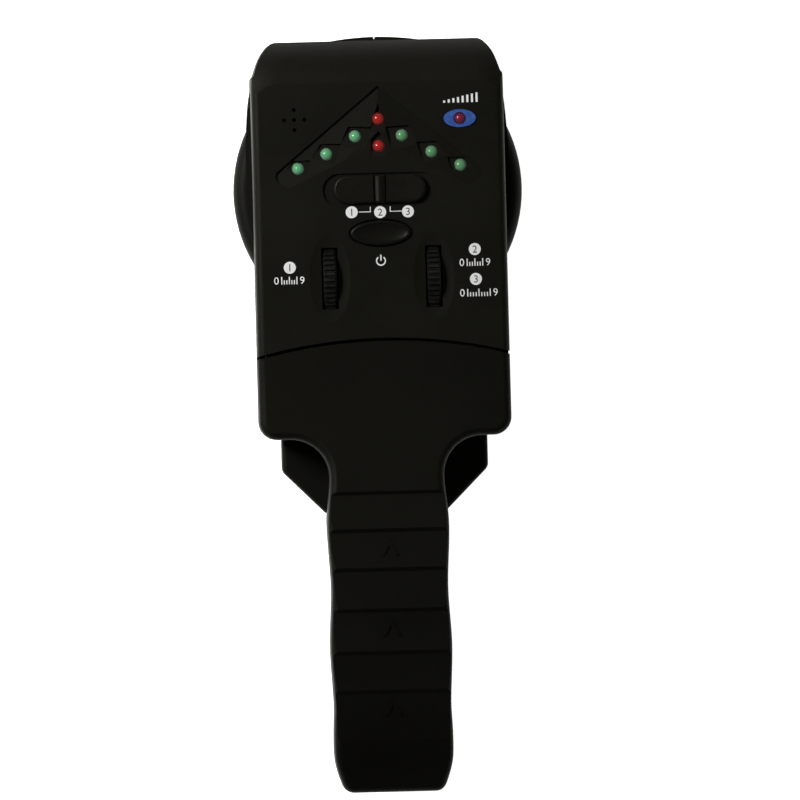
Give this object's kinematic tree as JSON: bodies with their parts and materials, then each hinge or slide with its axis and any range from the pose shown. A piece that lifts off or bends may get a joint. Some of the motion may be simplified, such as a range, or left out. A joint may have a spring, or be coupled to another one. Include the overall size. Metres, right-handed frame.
{
  "type": "stud finder",
  "caption": "Hand-held wall detector with a round search head, eight indicator lamps, mode slide, power button, two sensitivity wheels and a battery grip.",
  "frame": {"origin": "centre of the round search coil, on the flat face that slides over the wall", "axes": "+Z away from the wall, out of the control face; +Y along the tool to the marking nose, -Y to the grip; +X to the right seen from above the controls"},
  "size_m": [0.0746, 0.195, 0.0376],
  "materials": {
    "black_shell": "fine moulded texture",
    "black_control": "satin",
    "sole_pad": "matt low-friction pad",
    "green_lens": "tinted epoxy",
    "red_lens": "tinted epoxy",
    "dark_red_lens": "tinted epoxy",
    "blue_bezel": "gloss",
    "circuit_board": "solder mask",
    "chip_epoxy": "moulded epoxy",
    "bright_steel": "nickel plated",
    "copper": "enamelled copper",
    "natural_plastic": "natural moulding",
    "capacitor_sleeve": "shrink sleeve",
    "capacitor_dip": "dipped resin",
    "resistor_coat": "lacquered",
    "switch_tin": "tinned",
    "battery_jacket": "printed metal jacket",
    "snap_plastic": "vinyl",
    "red_wire": "insulated wire",
    "black_wire": "insulated wire",
    "grey_cable": "ribbon",
    "foam": "closed-cell foam"
  },
  "bodies": {
    "housing": {"lower_shell": "black_shell", "head_cover": "black_shell", "handle_cover": "black_shell", "sole_plate": "sole_pad", "power_bezel": "blue_bezel", "power_led": "dark_red_lens", "led_left_outer": "green_lens", "led_left_middle": "green_lens", "led_left_inner": "green_lens", "led_right_inner": "green_lens", "led_right_middle": "green_lens", "led_right_outer": "green_lens", "led_centre_upper": "red_lens", "led_centre_lower": "red_lens", "led_leads": "bright_steel", "main_board": "circuit_board", "controller_ic": "chip_epoxy", "amplifier_ic": "chip_epoxy", "transistors": "chip_epoxy", "electrolytic_capacitors": "capacitor_sleeve", "ceramic_capacitors": "capacitor_dip", "resistors": "resistor_coat", "piezo_buzzer": "chip_epoxy", "slide_switch_body": "switch_tin", "power_switch_body": "chip_epoxy", "left_potentiometer": "switch_tin", "right_potentiometer": "switch_tin", "search_coil": "copper", "coil_former": "natural_plastic", "coil_leads": "copper", "sensor_board": "circuit_board", "sensor_plates": "copper", "sensor_cable": "grey_cable", "battery": "battery_jacket", "battery_terminals": "bright_steel", "battery_snap": "snap_plastic", "battery_lead_red": "red_wire", "battery_lead_black": "black_wire", "battery_pad": "foam", "front_case_screws": "bright_steel", "rear_case_screws": "bright_steel", "grip_screw": "bright_steel", "board_screws": "bright_steel"},
    "mode_slider": {"mode_knob": "black_control", "slide_switch_actuator": "chip_epoxy"},
    "power_key": {"power_button": "black_control", "power_switch_plunger": "natural_plastic"},
    "left_wheel": {"left_thumbwheel": "black_control", "left_wheel_shaft": "black_control"},
    "right_wheel": {"right_thumbwheel": "black_control", "right_wheel_shaft": "black_control"},
    "door": {"battery_door": "black_shell"}
  },
  "joints": [
    {"name": "mode_slide", "type": "slide", "parent": "housing", "child": "mode_slider", "axis": [1, 0, 0], "range_m": [-0.0024, 0.0024]},
    {"name": "power_press", "type": "slide", "parent": "housing", "child": "power_key", "axis": [0, 0, -1], "range_m": [0, 0.0008], "stiffness_N_per_m": 1900},
    {"name": "left_wheel_turn", "type": "hinge", "parent": "housing", "child": "left_wheel", "pos_m": [-0.0134, -0.0226, 0.0246], "axis": [1, 0, 0], "range_deg": [-135, 135]},
    {"name": "right_wheel_turn", "type": "hinge", "parent": "housing", "child": "right_wheel", "pos_m": [0.0134, -0.0226, 0.0246], "axis": [1, 0, 0], "range_deg": [-135, 135]},
    {"name": "door_slide", "type": "slide", "parent": "housing", "child": "door", "axis": [0, -1, 0], "range_m": [0, 0.066]}
  ]
}
